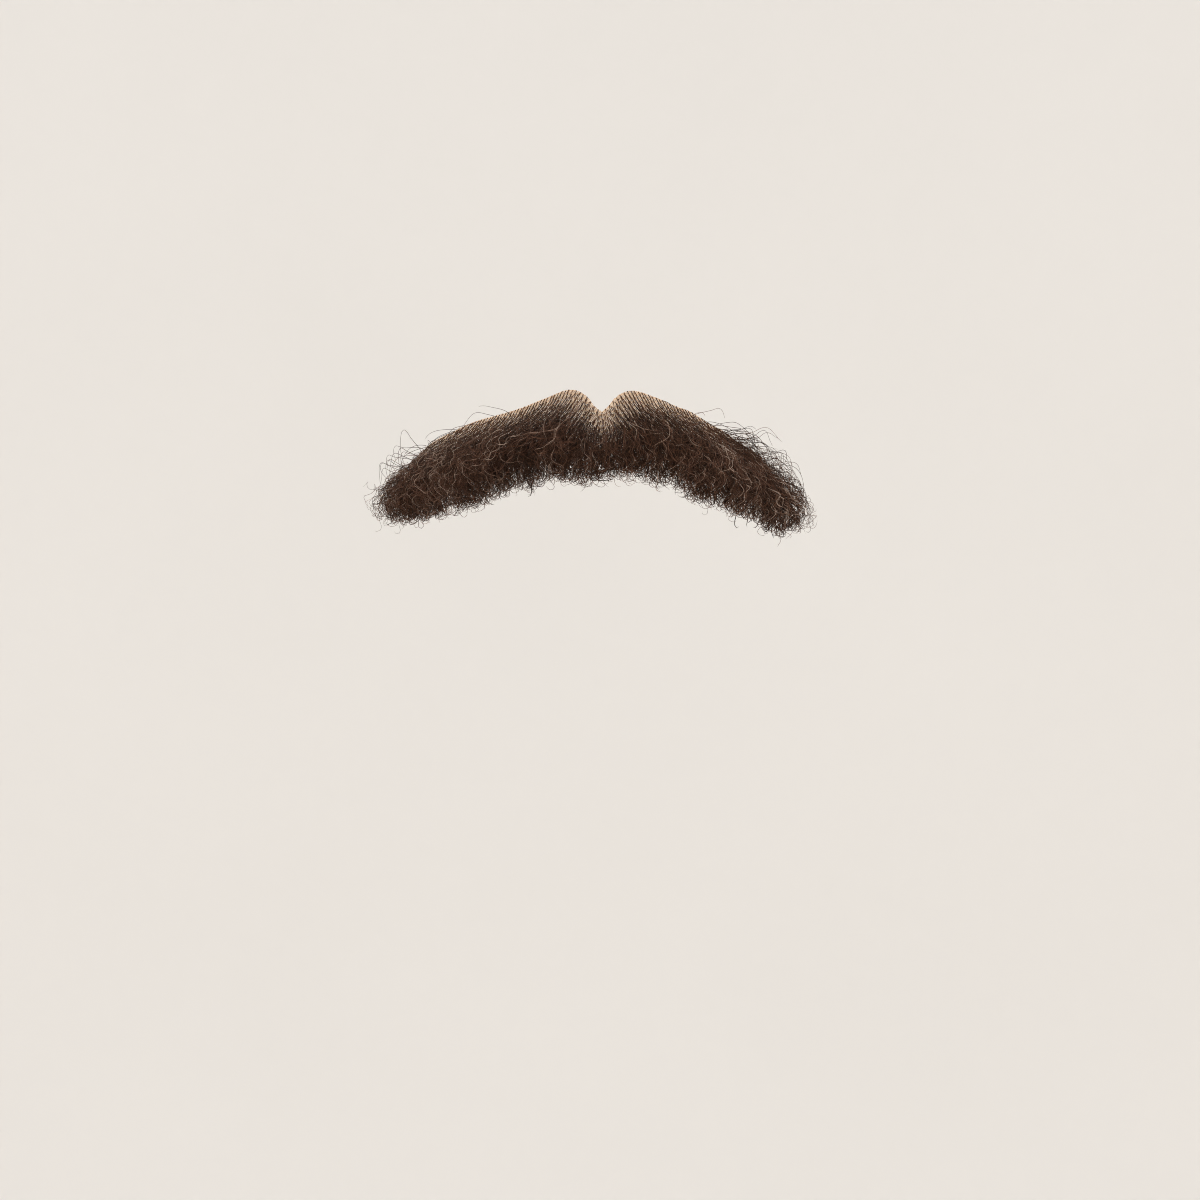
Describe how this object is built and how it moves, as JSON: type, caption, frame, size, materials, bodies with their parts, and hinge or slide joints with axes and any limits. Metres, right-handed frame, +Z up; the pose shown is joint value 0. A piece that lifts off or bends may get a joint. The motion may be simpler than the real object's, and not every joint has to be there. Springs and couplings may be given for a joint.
{
  "type": "fake moustache",
  "caption": "False moustache of curly dark-brown hair in two parted wings, knotted into a fine lace base that sticks to the upper lip, kept in its worn bend.",
  "frame": {"origin": "the back of the lace base at the parting, in the middle of the upper lip that it sticks to", "axes": "+Y points back into the wearer, so the front faces -Y; +Z is up; +X is to the right as seen from the front"},
  "size_m": [0.1169, 0.0444, 0.036],
  "materials": {
    "lace": "fine matte beige net",
    "hair": "dark-brown curly human hair with a soft sheen"
  },
  "bodies": {
    "root": {"lace_base": "lace", "left_wing_hair": "hair", "right_wing_hair": "hair"}
  },
  "joints": []
}
